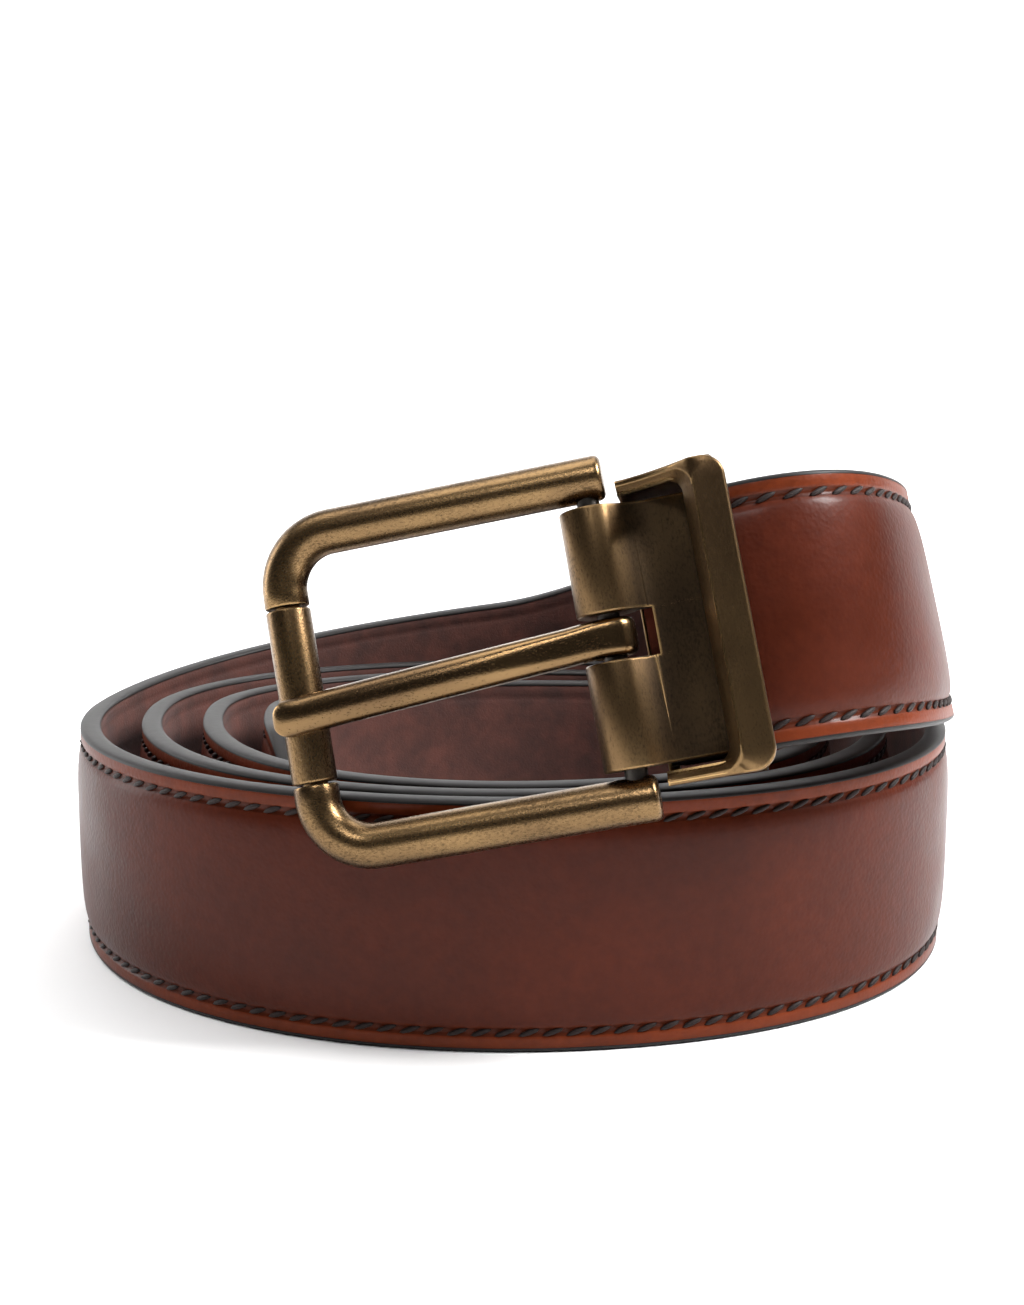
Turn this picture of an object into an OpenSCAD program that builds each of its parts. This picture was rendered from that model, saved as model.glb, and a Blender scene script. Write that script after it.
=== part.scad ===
// Leather dress belt, rolled up, with a clamp buckle: frame, roller, prong, hinge plate, casing and jaw.
// The strap stands on its edge as a loose coil. Its buckle end rises over the back and lies on the front.

/* [Strap] */
// Width of the strap
strap_w = 35; // [28:1:42]
// Thickness of the calf face
face_t = 1.2; // [0.8:0.1:1.6]
// Thickness of the backing board at the margins
core_t = 1.0; // [0.6:0.1:1.4]
// Extra height of the padding between the stitch rows
pad_rise = 0.8; // [0.2:0.1:1.2]
// Thickness of the lining
lining_t = 1.0; // [0.6:0.1:1.4]
// Distance from the strap edge to the stitch row
stitch_inset = 2.9; // [2:0.1:4]
// Width of the waxed thread
thread_w = 0.9; // [0.5:0.1:1.2]
// Diameter of the punched holes
hole_d = 4; // [3:0.25:5]
// Distance between the punched holes
hole_pitch = 25; // [20:1:30]
// Distance from the tip to the first hole
hole_start = 130; // [110:1:150]
// Number of punched holes
hole_count = 5; // [3:1:7]

/* [Coil] */
// Outer half width of the coil on the left
coil_left = 72.6; // [62:0.2:90]
// Outer half width of the coil on the right
coil_right = 72.2; // [62:0.2:90]
// Outer half depth of the coil at the front
coil_front = 65; // [55:0.5:80]
// Outer half depth of the ground turn at the back
coil_back = 48.5; // [42:0.5:62]
// How far each turn lies inside the last one on the left
pitch_left = 10; // [8:0.5:12]
// How far each turn lies inside the last one on the right
pitch_right = 9.5; // [8:0.5:11]
// How far each turn lies inside the last one at the back
pitch_back = 11.5; // [8:0.5:12]
// Air between the turns where they lie together at the front
pack_gap = 0.3; // [0.2:0.1:1]
// Number of turns from the left side to the tip
coil_turns = 3.1; // [2.4:0.1:3.4]

/* [Raised turn] */
// Height of the raised turn above the top edge of the coil, at the right
rise_over = 1.1; // [0.5:0.5:6]
// Half width of the raised turn on the right
raised_right = 67.6; // [60:0.2:80]
// Half depth of the raised turn at the back
raised_back = 60.5; // [56:0.5:74]
// Lean of the raised turn at the right
turn_lean = 14; // [4:1:16]

/* [Buckle pose] */
// Lean of the buckle, its top going back
buckle_lean = 14; // [6:1:18]
// Tilt of the buckle, its strap end going up
buckle_tilt = 11.6; // [8:1:14]
// Turn of the buckle, its strap end coming forward
buckle_yaw = 6; // [0:0.5:8]
// Place of the hinge pin from the middle of the coil, to the right
pin_x = 12.9; // [8:0.1:18]

/* [Frame] */
// Diameter of the cast rod that the frame is made of
rod_d = 6; // [5:0.1:7]
// Space between the strap and each arm
arm_space = 0.5; // [0.4:0.1:1.5]
// Distance from the hinge pin to the middle of the end bar
frame_len = 41.8; // [36:0.2:50]
// Bend radius of the frame corners, to the middle of the rod
corner_r = 7.3; // [5:0.1:9]
// Length of the roller
roller_len = 23.2; // [16:0.2:26]
// Diameter of the end bar inside the roller
spindle_d = 3.4; // [2.6:0.1:4]

/* [Prong] */
// Width of the prong
prong_w = 5; // [4:0.1:6.5]
// Thickness of the prong
prong_t = 3; // [2.4:0.1:3.6]
// Height of the prong's arch
prong_arch = 0.8; // [0:0.1:1.5]
// Sideways set of the prong, its tip going down
prong_set = 4; // [0:0.5:4]

/* [Casing and hinge] */
// Diameter of the hinge pin
pin_d = 3; // [2.4:0.1:3.6]
// Diameter of the hinge plate's barrel
barrel_d = 8.1; // [7:0.1:9]
// Length of the casing along the strap
casing_len = 14; // [13:0.2:20]
// Thickness of the casing's side walls
casing_wall = 1.9; // [1.6:0.1:3]
// Width of the casing's front bar
bar_w = 5.6; // [4:0.1:6.5]
// Thickness of the casing's front bar
bar_t = 1.5; // [1.2:0.1:2.4]
// Diameter of the jaw pin
jaw_pin_d = 2; // [1.6:0.1:2.4]
// Thickness of the jaw
jaw_t = 1.6; // [1.2:0.1:2.2]

/* [Hidden] */

// Fits
pin_play = 0.05;
press_play = 0.02;
glue_line = 0.05;
sliding = 0.3;
through = 1;
hole_turn = 25;

// Strap section: the middle of its thickness is 0, the face is on the plus side
strap_t = face_t + core_t + pad_rise + lining_t;
strap_back = -strap_t / 2;
core_back = strap_back + lining_t;
margin_top = core_back + core_t;
row_z = strap_w / 2 - stitch_inset;
pad_half = row_z - thread_w;

// Coil
pack_pitch = strap_t + pack_gap;
squareness = 0.04;
turn_steps = 44;
bend_steps = 14;
casing_steps = 3;
right_turn = -0.5;
rise = strap_w + rise_over;
slow_rise = 0.58;
step_start = 0.25;
step_turns = 0.19;
bend_reach_back = 28;
bend_reach_buckle = 22;
tip_len = 17;
shift_y = 8.5;

// Buckle, in its own directions: x along the strap, y to the back, z across the strap
arm_z = strap_w / 2 + arm_space + rod_d / 2;
arm_over = 2.5;
arm_taper = 0.8;
arm_end_d = 4.6;
arm_hole_depth = 2.8;
plate_back = 0.7;
strap_gap = 0.2;
strap_seat = plate_back + strap_gap + strap_t / 2;
strap_start = barrel_d / 2 + 0.55;
casing_x = 3.9;
casing_end = casing_x + casing_len;
casing_in = strap_w / 2 + 0.5;
casing_out = casing_in + casing_wall;
plate_z = strap_w / 2 - 0.5;
plate_front = -0.5;
valley_front = -0.3;
valley_x = 8;
valley_end = 12.5;
keeper_h = strap_t + 1.6;
bar_back = plate_front - keeper_h;
bar_front = bar_back - bar_t;
bar_bevel = 1.7;
casing_corner = 2.8;
slot_half = prong_w / 2 + 0.6;
slot_end = 5.8;
loop_r = pin_d / 2 + 1.8;
jaw_loop_r = jaw_pin_d / 2 + 0.8;
strap_rear = strap_seat + strap_t / 2;
jaw_pin_x = casing_end - 2.3;
jaw_pin_y = strap_rear + 0.3 + jaw_loop_r;
wall_back = jaw_pin_y + jaw_loop_r + 0.1;
bridge_w = 1.5;
mouth_x = casing_end + 1.6;
seat_gap = 2.7;
wall_gap = 0.3;

// Directions of the buckle
function about_x(p, a) = [p.x, p.y * cos(a) - p.z * sin(a), p.y * sin(a) + p.z * cos(a)];
function about_y(p, a) = [p.x * cos(a) + p.z * sin(a), p.y, -p.x * sin(a) + p.z * cos(a)];
function about_z(p, a) = [p.x * cos(a) - p.y * sin(a), p.x * sin(a) + p.y * cos(a), p.z];
function buckle_turn(p) = about_z(about_y(about_x(p, -buckle_lean), -buckle_tilt), -buckle_yaw);

// The lower arm lies against the front of the coil, and the casing clears its top edge
arm_corner = buckle_turn([corner_r - frame_len, 0, -arm_z]);
arm_x = pin_x + arm_corner.x;
coil_front_at_arm = coil_front * sqrt(1 - pow(arm_x / coil_left, 2));
pin_y = -coil_front_at_arm - rod_d / 2 - wall_gap - arm_corner.y;
pin_z = strap_w + seat_gap + casing_out * cos(buckle_lean) * cos(buckle_tilt);
pin_place = [pin_x, pin_y + shift_y, pin_z];
function buckle_point(p) = pin_place + buckle_turn(p);

// Middle of the strap's thickness and width along the coil; t counts turns from the left side
function edge_right(t) = t < 0 ? raised_right : coil_right - pitch_right * (t - 0.5);
function edge_left(t) = coil_left - pitch_left * max(t, 0);
function edge_front(t) = coil_front - pack_pitch * max(t - 0.25, 0);
function edge_back(t) = t < 0 ? raised_back : coil_back - pitch_back * (t - 0.75);
function half_x(t, c) = (c > 0 ? edge_right(t) : edge_left(t)) - strap_t / 2;
function half_y(t, s) = (s > 0 ? edge_back(t) : edge_front(t)) - strap_t / 2;
function ease(q) = let (k = min(1, max(0, q))) k * k * (3 - 2 * k);
function climb(t) = rise * (slow_rise * ease(t / right_turn) + (1 - slow_rise) * ease((-t - step_start) / step_turns));
function coil_point(t) =
  let (a = 180 + 360 * t, c = cos(a), s = sin(a))
  [
    half_x(t, c) * c * (1 + squareness * s * s),
    half_y(t, s) * s * (1 + squareness * c * c) + shift_y,
    strap_w / 2 + climb(t)
  ];
function unit(v) = v / norm(v);
function coil_way(t) = unit(coil_point(t + 0.002) - coil_point(t - 0.002));

// The bend from the right of the coil to the casing, and the straight end inside the casing
bend_start = coil_point(right_turn);
bend_end = buckle_point([mouth_x, strap_seat, 0]);
bend_1 = bend_start - coil_way(right_turn) * bend_reach_back;
bend_2 = bend_end + buckle_turn([1, 0, 0]) * bend_reach_buckle;
function bend_point(q) =
  pow(1 - q, 3) * bend_end + 3 * pow(1 - q, 2) * q * bend_2
  + 3 * (1 - q) * q * q * bend_1 + pow(q, 3) * bend_start;
function bend_way(q) = unit(
  3 * pow(1 - q, 2) * (bend_2 - bend_end) + 6 * (1 - q) * q * (bend_1 - bend_2)
  + 3 * q * q * (bend_start - bend_1));

// Each station is [point, direction, lean]
tip_t = coil_turns;
coil_count = round((tip_t - right_turn) * turn_steps);
function coil_t(i) = right_turn + (tip_t - right_turn) * i / coil_count;
function coil_lean(t) = turn_lean * ease(t / right_turn);
straight = [
  for (i = [0:casing_steps - 1])
    [
      buckle_point([strap_start + (mouth_x - strap_start) * i / casing_steps, strap_seat, 0]),
      buckle_turn([1, 0, 0]),
      buckle_lean
    ]
];
bend = [
  for (i = [0:bend_steps - 1])
    let (q = i / bend_steps)
    [bend_point(q), bend_way(q), buckle_lean + (turn_lean - buckle_lean) * q]
];
turns = [for (i = [0:coil_count]) [coil_point(coil_t(i)), coil_way(coil_t(i)), coil_lean(coil_t(i))]];
stations = concat(straight, bend, turns);

// Length along the strap from each station to the tip
function lengths(i) = i == len(stations) - 1 ? [0]
  : let (rest = lengths(i + 1)) concat([rest[0] + norm(stations[i + 1][0] - stations[i][0])], rest);
to_tip = lengths(0);

// A section point: out is across the thickness, up is across the width
function outward(s) = unit(cross(s[1], [0, 0, 1]));
function upward(s) = cross(outward(s), s[1]);
function on_strap(s, out, up) =
  s[0]
  + outward(s) * (out * cos(s[2]) - up * sin(s[2]))
  + upward(s) * (up * cos(s[2]) + out * sin(s[2]));
function station_at(d) = let (i = [for (k = [0:len(stations) - 1]) if (to_tip[k] >= d) k]) i[len(i) - 1];
function tip_width(d) = d >= tip_len ? 1 : 0.12 + 0.88 * sqrt(1 - pow(1 - d / tip_len, 2));

// Height of the padding across the strap, as shares of its half width and of its full height
pad_shares = [[1, 0], [0.84, 0.72], [0, 1]];
half_w = strap_w / 2;
strap_line = concat(
  [[0, -half_w]],
  [for (p = pad_shares) [p.y * pad_rise, -p.x * pad_half]],
  [for (i = [1:-1:0]) [pad_shares[i].y * pad_rise, pad_shares[i].x * pad_half]],
  [[0, half_w]]);
function flat_line(out) = [for (p = strap_line) [out, p.y]];
function padded_line(out) = [for (p = strap_line) [out + p.x, p.y]];

// A closed band swept along the strap: low and high hold its back and front as [out, up] points
module sweep(low, high) {
  n = len(low);
  ring = 2 * n;
  count = len(stations);
  line = concat(low, [for (i = [n - 1:-1:0]) high[i]]);
  points = [
    for (i = [0:count - 1])
      for (p = line)
        on_strap(stations[i], p.x, p.y * tip_width(to_tip[i]))
  ];
  sides = [
    for (i = [0:count - 2])
      for (j = [0:ring - 1])
        let (a = i * ring + j, b = i * ring + (j + 1) % ring, c = a + ring, d = b + ring)
        each (j < n ? [[a, d, b], [a, c, d]] : [[a, c, b], [b, c, d]])
  ];
  end = (count - 1) * ring;
  caps = [
    for (j = [0:n - 2])
      let (k = ring - 1 - j)
      each [[k, j + 1, k - 1], [k, j, j + 1], [end + j, end + k - 1, end + j + 1], [end + j, end + k, end + k - 1]]
  ];
  polyhedron(points, concat(sides, caps), convexity = 10);
}

// The punched holes, each square to the strap at the station nearest to its place
module holes() {
  for (i = [0:hole_count - 1]) {
    s = stations[station_at(hole_start + i * hole_pitch)];
    way = outward(s);
    translate(s[0])
      rotate([0, 90, atan2(way.y, way.x)])
        rotate(hole_turn)
          cylinder(h = strap_t + 2 * sliding, d = hole_d, center = true, $fn = 24);
  }
}

// Local space of the buckle
module at_pin() {
  translate(pin_place)
    rotate([-buckle_lean, -buckle_tilt, -buckle_yaw])
      children();
}

// A cylinder across the strap, between two heights
module cross_rod(x, y, d, z0, z1) {
  translate([x, y, z0])
    cylinder(h = z1 - z0, d = d, $fn = 64);
}

module strap_face() {
  color("saddlebrown")
    difference() {
      sweep(padded_line(margin_top), padded_line(margin_top + face_t));
      holes();
    }
}

module strap_core() {
  color("tan")
    difference() {
      sweep(flat_line(core_back), padded_line(margin_top - glue_line));
      holes();
    }
}

module strap_lining() {
  color("sienna")
    difference() {
      sweep(flat_line(strap_back), flat_line(core_back - glue_line));
      holes();
    }
}

module stitch_row(side) {
  low = margin_top + face_t + glue_line;
  a = side * row_z - thread_w / 2;
  b = side * row_z + thread_w / 2;
  color("black")
    sweep([[low, a], [low, b]], [[low + thread_w / 2, a], [low + thread_w / 2, b]]);
}

module frame_corner(side) {
  translate([corner_r - frame_len, 0, side * (arm_z - corner_r)])
    rotate([90, 0, 0])
      rotate([0, 0, side > 0 ? 90 : 180])
        rotate_extrude(angle = 90, $fn = 64)
          translate([corner_r, 0])
            circle(d = rod_d, $fn = 48);
}

module frame_arm(side) {
  inner = strap_w / 2 + arm_space;
  difference() {
    union() {
      translate([corner_r - frame_len, 0, side * arm_z])
        rotate([0, 90, 0])
          cylinder(h = frame_len - corner_r + arm_over - arm_taper, d = rod_d, $fn = 64);
      translate([arm_over - arm_taper, 0, side * arm_z])
        rotate([0, 90, 0])
          cylinder(h = arm_taper, d1 = rod_d, d2 = arm_end_d, $fn = 64);
    }
    if (side > 0) cross_rod(0, 0, pin_d + 2 * pin_play, inner - through, inner + arm_hole_depth);
    if (side < 0) cross_rod(0, 0, pin_d + 2 * pin_play, -inner - arm_hole_depth, through - inner);
  }
}

module frame() {
  stub = roller_len / 2 + sliding;
  color("darkgoldenrod")
    at_pin() {
      frame_arm(1);
      frame_arm(-1);
      frame_corner(1);
      frame_corner(-1);
      cross_rod(-frame_len, 0, rod_d, stub, arm_z - corner_r);
      cross_rod(-frame_len, 0, rod_d, corner_r - arm_z, -stub);
      cross_rod(-frame_len, 0, spindle_d, -stub, stub);
    }
}

module roller() {
  color("goldenrod")
    at_pin()
      difference() {
        cross_rod(-frame_len, 0, rod_d, -roller_len / 2, roller_len / 2);
        cross_rod(-frame_len, 0, spindle_d + 2 * pin_play, -roller_len, roller_len);
      }
}

module prong() {
  steps = 16;
  tip = frame_len + rod_d / 2;
  rest = rod_d / 2 + sliding;
  function back_y(q) = (prong_t - loop_r) * (1 - q) - rest * q - prong_arch * 4 * q * (1 - q);
  function at(i) = tip * i / steps;
  back = [for (i = [0:steps]) [-at(i), back_y(min(1, at(i) / frame_len))]];
  front = [for (i = [steps:-1:0]) [-at(i), back_y(min(1, at(i) / frame_len)) - prong_t]];
  color("goldenrod")
    at_pin()
      difference() {
        intersection() {
          union() {
            translate([0, 0, -prong_w])
              linear_extrude(height = 2 * prong_w)
                polygon(concat(back, front));
            cross_rod(0, 0, 2 * loop_r, -prong_w, prong_w);
          }
          rotate([90, -prong_set, 0])
            translate([0, 0, -2 * rod_d])
              linear_extrude(height = 4 * rod_d)
                union() {
                  translate([prong_w / 2 - tip, -prong_w / 2])
                    square([tip + rod_d, prong_w]);
                  translate([prong_w / 2 - tip, 0])
                    circle(d = prong_w, $fn = 64);
                }
        }
        cross_rod(0, 0, pin_d + 2 * pin_play, -prong_w, prong_w);
      }
}

module hinge_plate() {
  steps = 8;
  start_x = barrel_d / 2 * 0.55;
  start_y = -sqrt(pow(barrel_d / 2, 2) - pow(start_x, 2));
  plate_end = casing_end - 1.4;
  dip = [
    for (i = [0:steps])
      let (q = i / steps, k = pow(1 - q, 2))
      [start_x + (valley_x - start_x) * q, valley_front + (start_y - valley_front) * k]
  ];
  lift = [
    for (i = [1:steps])
      let (q = i / steps)
      [
        valley_x + (valley_end - valley_x) * q,
        valley_front + (plate_front - valley_front) * ease(q)
      ]
  ];
  color("darkgoldenrod")
    at_pin()
      difference() {
        union() {
          translate([0, 0, -plate_z])
            linear_extrude(height = 2 * plate_z)
              polygon(concat([[0, plate_back]], [[0, start_y]], dip, lift,
                [[plate_end, plate_front], [plate_end, plate_back]]));
          cross_rod(0, 0, barrel_d, -plate_z, plate_z);
          translate([valley_end, plate_front, press_play - casing_in])
            cube([plate_end - valley_end, plate_back - plate_front, 2 * casing_in - 2 * press_play]);
        }
        cross_rod(0, 0, pin_d + 2 * press_play, -strap_w, strap_w);
        translate([-barrel_d, -barrel_d, -slot_half])
          cube([barrel_d + slot_end, 2 * barrel_d, 2 * slot_half]);
      }
}

module hinge_pin() {
  reach = strap_w / 2 + arm_space + arm_hole_depth - 0.2;
  color("dimgray")
    at_pin()
      cross_rod(0, 0, pin_d, -reach, reach);
}

module casing_outline() {
  translate([casing_x, -casing_out])
    square([casing_len - casing_corner, 2 * casing_out]);
  translate([casing_x, casing_corner - casing_out])
    square([casing_len, 2 * (casing_out - casing_corner)]);
  for (side = [-1, 1])
    translate([casing_end - casing_corner, side * (casing_out - casing_corner)])
      circle(r = casing_corner, $fn = 64);
}

module casing() {
  bar_x = casing_end - bar_w;
  low_front = -1.6;
  wall_side = [
    [casing_x, low_front],
    [bar_x - 2.6, bar_front + 3.4],
    [bar_x - 0.6, bar_front + 1.2],
    [bar_x + bar_bevel, bar_front],
    [casing_end - 0.6, bar_front],
    [casing_end, bar_front + 0.6],
    [casing_end, wall_back - 1],
    [casing_end - 1, wall_back],
    [casing_x + 1, wall_back],
    [casing_x, wall_back - 1]
  ];
  bevel = [
    [bar_x - through, bar_front - through],
    [bar_x + bar_bevel, bar_front - through],
    [bar_x + bar_bevel, bar_front],
    [bar_x, bar_front + 1],
    [bar_x - through, bar_front + 1]
  ];
  bridge_front = strap_rear + 0.4;
  color("goldenrod")
    at_pin()
      difference() {
        intersection() {
          translate([0, 0, -casing_out])
            linear_extrude(height = 2 * casing_out)
              polygon(wall_side);
          translate([0, wall_back + through, 0])
            rotate([90, 0, 0])
              linear_extrude(height = wall_back - bar_front + 2 * through)
                casing_outline();
        }
        translate([casing_x - through, bar_back, -casing_in])
          cube([casing_len + 2 * through, bridge_front - bar_back, 2 * casing_in]);
        translate([casing_x - through, bar_front - through, -casing_in])
          cube([bar_x - casing_x + through, bar_t + 2 * through, 2 * casing_in]);
        translate([0, 0, -casing_in])
          linear_extrude(height = 2 * casing_in)
            polygon(bevel);
        translate([casing_x + bridge_w, bridge_front - through, -casing_in])
          cube([casing_len, wall_back, 2 * casing_in]);
        cross_rod(jaw_pin_x, jaw_pin_y, jaw_pin_d + 2 * press_play, -strap_w, strap_w);
      }
}

module clamp_jaw() {
  jaw_z = casing_in - 0.4;
  free_x = casing_x + bridge_w + 0.4;
  back = jaw_pin_y + jaw_t / 2;
  front = back - jaw_t;
  tooth = 1.1;
  tooth_front = strap_rear + 0.15;
  teeth = [
    for (i = [0:2])
      each [[free_x + i * tooth, front], [free_x + (i + 0.5) * tooth, tooth_front]]
  ];
  color("darkgoldenrod")
    at_pin()
      difference() {
        union() {
          translate([0, 0, -jaw_z])
            linear_extrude(height = 2 * jaw_z)
              polygon(concat(teeth,
                [[free_x + 3 * tooth, front], [jaw_pin_x, front], [jaw_pin_x, back], [free_x, back]]));
          cross_rod(jaw_pin_x, jaw_pin_y, 2 * jaw_loop_r, -jaw_z, jaw_z);
        }
        cross_rod(jaw_pin_x, jaw_pin_y, jaw_pin_d + 2 * pin_play, -strap_w, strap_w);
      }
}

module jaw_pin() {
  color("dimgray")
    at_pin()
      cross_rod(jaw_pin_x, jaw_pin_y, jaw_pin_d, -casing_out, casing_out);
}

strap_face();
strap_core();
strap_lining();
stitch_row(1);  // stitch_row_upper
stitch_row(-1);  // stitch_row_lower
casing();
hinge_plate();
hinge_pin();
frame();
roller();
prong();
clamp_jaw();
jaw_pin();
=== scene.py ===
"""Looks of a rolled leather dress belt with a clamp buckle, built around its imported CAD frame."""
import math

import bmesh
import bpy
import numpy as np
from bpy.props import FloatProperty, FloatVectorProperty, IntProperty, PointerProperty
from mathutils import Matrix, Vector


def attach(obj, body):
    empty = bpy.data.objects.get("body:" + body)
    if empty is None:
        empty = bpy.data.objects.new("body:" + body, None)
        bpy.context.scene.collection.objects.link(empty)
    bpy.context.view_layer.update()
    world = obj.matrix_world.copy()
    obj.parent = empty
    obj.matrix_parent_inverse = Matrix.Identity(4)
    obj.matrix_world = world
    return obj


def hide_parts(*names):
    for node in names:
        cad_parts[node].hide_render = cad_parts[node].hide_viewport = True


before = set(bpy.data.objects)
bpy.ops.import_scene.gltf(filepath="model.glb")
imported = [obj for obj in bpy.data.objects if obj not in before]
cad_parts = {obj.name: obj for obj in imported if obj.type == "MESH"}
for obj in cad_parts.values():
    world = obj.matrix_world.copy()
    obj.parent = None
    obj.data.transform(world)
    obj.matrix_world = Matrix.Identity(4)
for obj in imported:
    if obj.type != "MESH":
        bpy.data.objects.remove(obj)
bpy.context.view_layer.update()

bl_info = {
    "name": "Rolled dress belt",
    "version": (1, 0, 0),
    "blender": (4, 5, 0),
    "location": "3D View > Sidebar > Belt",
    "description": "Builds a rolled leather belt with a clamp buckle, its stitches, finishes and stage",
    "category": "Add Mesh",
}

MM = 0.001


def length(name, description, default):
    """A size in metres, given in millimetres."""
    return FloatProperty(name=name, description=description, default=default * MM, unit="LENGTH",
                         subtype="DISTANCE")


def angle(name, description, default):
    """An angle, given in degrees."""
    return FloatProperty(name=name, description=description, default=math.radians(default), unit="ROTATION",
                         subtype="ANGLE")


def hex_rgb(code):
    """sRGB hex to linear red, green and blue."""
    parts = [int(code[i:i + 2], 16) / 255 for i in (1, 3, 5)]
    return tuple(c / 12.92 if c <= 0.04045 else ((c + 0.055) / 1.055) ** 2.4 for c in parts)


def colour(name, description, code):
    """A colour, given as sRGB hex."""
    return FloatVectorProperty(name=name, description=description, default=hex_rgb(code), subtype="COLOR",
                               size=3, min=0, max=1)


class StrapSizes(bpy.types.PropertyGroup):
    """Sizes of the strap's section, its stitches and its punched holes."""
    width: length("Width", "Width of the strap", 35)
    face: length("Face", "Thickness of the calf face", 1.2)
    board: length("Board", "Thickness of the backing board at the margins", 1.0)
    padding: length("Padding", "Extra height of the padding between the stitch rows", 0.8)
    lining: length("Lining", "Thickness of the lining", 1.0)
    inset: length("Stitch inset", "Distance from the edge to the stitch row", 2.9)
    thread: length("Thread", "Width of the waxed thread", 0.9)
    stitch: length("Stitch", "Length of one stitch, from needle hole to needle hole", 3.2)
    hole: length("Hole", "Diameter of the punched holes", 4)
    hole_pitch: length("Hole pitch", "Distance between the punched holes", 25)
    hole_start: length("First hole", "Distance from the tip to the first hole", 130)
    holes: IntProperty(name="Holes", description="Number of punched holes", default=5, min=0, max=9)
    tip: length("Tip", "Length of the rounded tip", 17)


class RollSizes(bpy.types.PropertyGroup):
    """Sizes of the rolled strap: the turns on the ground and the raised outer turn."""
    left: length("Left", "Outer half width on the left", 72.6)
    right: length("Right", "Outer half width on the right", 72.2)
    front: length("Front", "Outer half depth at the front", 65)
    back: length("Back", "Outer half depth of the ground turn at the back", 48.5)
    pitch_left: length("Pitch left", "How far each turn lies inside the last one on the left", 10)
    pitch_right: length("Pitch right", "How far each turn lies inside the last one on the right", 9.5)
    pitch_back: length("Pitch back", "How far each turn lies inside the last one at the back", 11.5)
    gap: length("Gap", "Air between the turns at the front", 0.3)
    turns: FloatProperty(name="Turns", description="Turns from the left side to the tip", default=3.1)
    rise_over: length("Rise", "Height of the raised turn above the top edge of the roll", 1.1)
    raised_right: length("Raised right", "Half width of the raised turn on the right", 67.6)
    raised_back: length("Raised back", "Half depth of the raised turn at the back", 60.5)
    lean: angle("Lean", "Lean of the raised turn at the right", 14)
    shift: length("Shift", "Distance from the origin back to the middle of the roll", 8.5)


class BuckleSizes(bpy.types.PropertyGroup):
    """Pose and sizes of the buckle."""
    lean: angle("Lean", "Lean of the buckle, its top going back", 14)
    tilt: angle("Tilt", "Tilt of the buckle, its strap end going up", 11.6)
    yaw: angle("Yaw", "Turn of the buckle, its strap end coming forward", 6)
    pin_x: length("Pin", "Place of the hinge pin from the middle of the roll", 12.9)
    rod: length("Rod", "Diameter of the frame's rod", 6)
    arm_space: length("Arm space", "Space between the strap and each arm", 0.5)
    reach: length("Reach", "Distance from the hinge pin to the end bar", 41.8)
    corner: length("Corner", "Bend radius of the frame's corners", 7.3)
    roller: length("Roller", "Length of the roller", 23.2)
    spindle: length("Spindle", "Diameter of the end bar inside the roller", 3.4)
    prong: length("Prong width", "Width of the prong", 5)
    prong_t: length("Prong thickness", "Thickness of the prong", 3)
    prong_arch: length("Prong arch", "Height of the prong's arch", 0.8)
    prong_set: angle("Prong set", "Sideways set of the prong, its tip going down", 4)
    pin: length("Pin diameter", "Diameter of the hinge pin", 3)
    casing_start: length("Casing start", "Distance from the hinge pin to the casing", 3.9)
    casing: length("Casing", "Length of the casing along the strap", 14)
    casing_wall: length("Casing wall", "Thickness of the casing's side walls", 1.9)


class Finishes(bpy.types.PropertyGroup):
    """Colours of the finishes."""
    calf: colour("Calf", "Polished calf, on the flat", "#441a0d")
    calf_edge: colour("Calf margin", "Polished calf, along the margins", "#602812")
    edge_paint: colour("Edge paint", "Painted edges of the strap", "#120e0d")
    lining: colour("Lining", "Lining leather", "#48231a")
    thread: colour("Thread", "Waxed thread", "#1a0e0b")
    brass: colour("Brass", "Polished brass on worn edges", "#ab8b5e")
    brass_body: colour("Brass body", "Antiqued brass between edges and hollows", "#624d36")
    patina: colour("Patina", "Dark patina in hollows and pits", "#1a1510")
    steel: colour("Steel", "Drawn steel of the pins", "#4a4642")
    floor: colour("Floor", "Studio floor", "#f4f4f4")


def strap():
    return bpy.context.scene.belt_strap


def roll():
    return bpy.context.scene.belt_roll


def buckle():
    return bpy.context.scene.belt_buckle


def finishes():
    return bpy.context.scene.belt_finish


def ease(q):
    """Goes from 0 to 1 as q does, starting and ending level."""
    k = min(1.0, max(0.0, q))
    return k * k * (3 - 2 * k)


# The roll: the turn where the raised strap is at its right side, how square the turns are, and the climb
RIGHT = -0.5
SQUARENESS = 0.04
SLOW_RISE, STEP_START, STEP_TURNS = 0.58, 0.25, 0.19
# The bend from the roll to the buckle: how far each end of the curve runs straight on
REACH_BACK, REACH_BUCKLE = 28 * MM, 22 * MM
# The casing: its mouth, its front bar, the gap beside the strap, and the levels of plate, strap and jaw
MOUTH = 1.6 * MM
BAR_WIDTH, BAR_THICK = 5.6 * MM, 1.5 * MM
SIDE_GAP = 0.5 * MM
PLATE_BACK, PLATE_FRONT = 0.7 * MM, -0.5 * MM
SEAT = 0.9 * MM
JAW_GAP, JAW_BARREL = 0.3 * MM, 2 * (1.0 + 0.8) * MM
KEEPER_SPACE = 1.6 * MM
# The hinge: the barrel of the plate, where the strap starts behind it, and the play of what turns on a pin
BARREL = 8.1 * MM
STRAP_START = BARREL / 2 + 0.55 * MM
PLAY = 0.05 * MM
# The buckle leans on the roll with this gap, and its casing clears the ground turns by this much
LEAN_GAP, CLEARANCE = 0.3 * MM, 2.7 * MM
GROOVE_MIDDLE = 14.6 * MM


def strap_depth():
    s = strap()
    return s.face + s.board + s.padding + s.lining


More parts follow.
